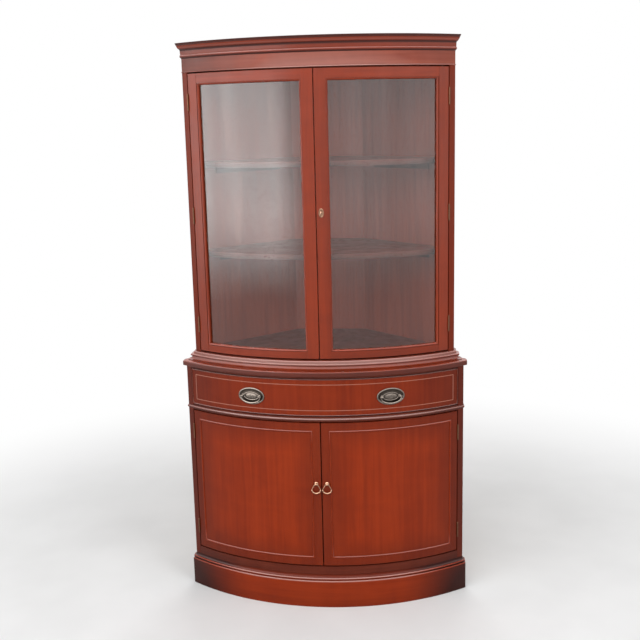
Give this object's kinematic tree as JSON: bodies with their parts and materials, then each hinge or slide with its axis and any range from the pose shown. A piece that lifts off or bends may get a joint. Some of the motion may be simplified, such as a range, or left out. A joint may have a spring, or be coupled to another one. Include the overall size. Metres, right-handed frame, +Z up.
{
  "type": "corner china cabinet",
  "caption": "Bow-front corner china cabinet: glazed hutch with curved glass doors over a base with a drawer and two curved doors, oval bail pulls, drop pulls, and a lock with its key.",
  "frame": {"origin": "centre of the footprint's bounding box, on the floor", "axes": "+Z up, -Y towards the front, +X to the right as seen from the front; the two room walls stand at 45 degrees behind"},
  "size_m": [0.944, 0.526, 1.829],
  "materials": {
    "mahogany": "red-brown satin lacquer",
    "case_plywood": "stained plywood, matt",
    "secondary_wood": "planed, unfinished",
    "curved_glass": "clear bent sheet glass",
    "brass": "polished, slightly tarnished",
    "aged_brass": "dark antique patina, worn bright on the high spots"
  },
  "bodies": {
    "case": {"plinth_front": "mahogany", "plinth_back": "case_plywood", "base_posts": "mahogany", "base_walls": "case_plywood", "base_back": "case_plywood", "base_rail": "mahogany", "mid_rail": "mahogany", "base_top_rail": "mahogany", "base_bottom": "case_plywood", "base_shelf": "mahogany", "drawer_deck": "case_plywood", "mid_bead": "mahogany", "base_top": "mahogany", "drawer_runners": "secondary_wood", "waist_moulding": "mahogany", "hutch_posts": "mahogany", "hutch_walls": "case_plywood", "hutch_back": "case_plywood", "hutch_bottom_rail": "mahogany", "hutch_bottom": "mahogany", "shelf_lower": "mahogany", "shelf_upper": "mahogany", "hutch_top": "case_plywood", "frieze": "mahogany", "cornice": "mahogany", "shelf_cleats": "secondary_wood", "case_hinges": "brass"},
    "hutch_door_left": {"hutch_door_left_hinge_stile": "mahogany", "hutch_door_left_meeting_stile": "mahogany", "hutch_door_left_rails": "mahogany", "hutch_door_left_glass": "curved_glass", "hutch_door_left_glass_beads": "mahogany", "hutch_door_left_hinges": "brass"},
    "hutch_door_right": {"hutch_door_right_hinge_stile": "mahogany", "hutch_door_right_meeting_stile": "mahogany", "hutch_door_right_rails": "mahogany", "hutch_door_right_glass": "curved_glass", "hutch_door_right_glass_beads": "mahogany", "hutch_door_right_hinges": "brass", "hutch_door_right_lock": "brass"},
    "lock_bolt": {"lock_bolt": "brass"},
    "key": {"key": "brass"},
    "base_door_left": {"base_door_left_panel": "mahogany", "base_door_left_bead": "mahogany", "base_door_left_hinges": "brass", "base_door_left_pull_post": "brass"},
    "base_door_right": {"base_door_right_panel": "mahogany", "base_door_right_bead": "mahogany", "base_door_right_hinges": "brass", "base_door_right_pull_post": "brass"},
    "drop_left": {"base_door_left_drop": "brass"},
    "drop_right": {"base_door_right_drop": "brass"},
    "drawer": {"drawer_front": "mahogany", "drawer_cock_bead": "mahogany", "drawer_box": "secondary_wood", "drawer_bottom": "secondary_wood", "drawer_pull_plates": "aged_brass"},
    "bail_left": {"bail_left": "aged_brass"},
    "bail_right": {"bail_right": "aged_brass"}
  },
  "joints": [
    {"name": "hutch_door_left_hinge", "type": "hinge", "parent": "case", "child": "hutch_door_left", "pos_m": [-0.4121, -0.09771, 1.286], "axis": [0, 0, -1], "range_deg": [0, 110]},
    {"name": "hutch_door_right_hinge", "type": "hinge", "parent": "case", "child": "hutch_door_right", "pos_m": [0.4121, -0.09771, 1.286], "axis": [0, 0, 1], "range_deg": [0, 110]},
    {"name": "base_door_left_hinge", "type": "hinge", "parent": "case", "child": "base_door_left", "pos_m": [-0.44316, -0.11396, 0.39], "axis": [0, 0, -1], "range_deg": [0, 110]},
    {"name": "base_door_right_hinge", "type": "hinge", "parent": "case", "child": "base_door_right", "pos_m": [0.44316, -0.11396, 0.39], "axis": [0, 0, 1], "range_deg": [0, 110]},
    {"name": "drawer_slide", "type": "slide", "parent": "case", "child": "drawer", "axis": [0, -1, 0], "range_m": [0, 0.2]},
    {"name": "bail_left_swing", "type": "hinge", "parent": "drawer", "child": "bail_left", "pos_m": [-0.227, -0.22601, 0.715], "axis": [-0.9561, 0.2929, 0], "range_deg": [-5, 90]},
    {"name": "bail_right_swing", "type": "hinge", "parent": "drawer", "child": "bail_right", "pos_m": [0.227, -0.22601, 0.715], "axis": [-0.9561, -0.2929, 0], "range_deg": [-5, 90]},
    {"name": "drop_left_swing", "type": "hinge", "parent": "base_door_left", "child": "drop_left", "pos_m": [-0.01768, -0.2596, 0.429], "axis": [-0.9997, 0.0228, 0], "range_deg": [-8, 85]},
    {"name": "drop_right_swing", "type": "hinge", "parent": "base_door_right", "child": "drop_right", "pos_m": [0.01768, -0.2596, 0.429], "axis": [-0.9997, -0.0228, 0], "range_deg": [-8, 85]},
    {"name": "key_turn", "type": "hinge", "parent": "hutch_door_right", "child": "key", "pos_m": [0.016, -0.22083, 1.301], "axis": [0.0217, -0.9998, 0], "range_deg": [0, 180]},
    {"name": "bolt_slide", "type": "slide", "parent": "hutch_door_right", "child": "lock_bolt", "axis": [-0.9998, -0.0217, 0], "range_m": [0, 0.008]}
  ],
  "couplings": [
    {"joint": "key_turn", "follows": "bolt_slide", "rad_per_m": 392.66}
  ]
}
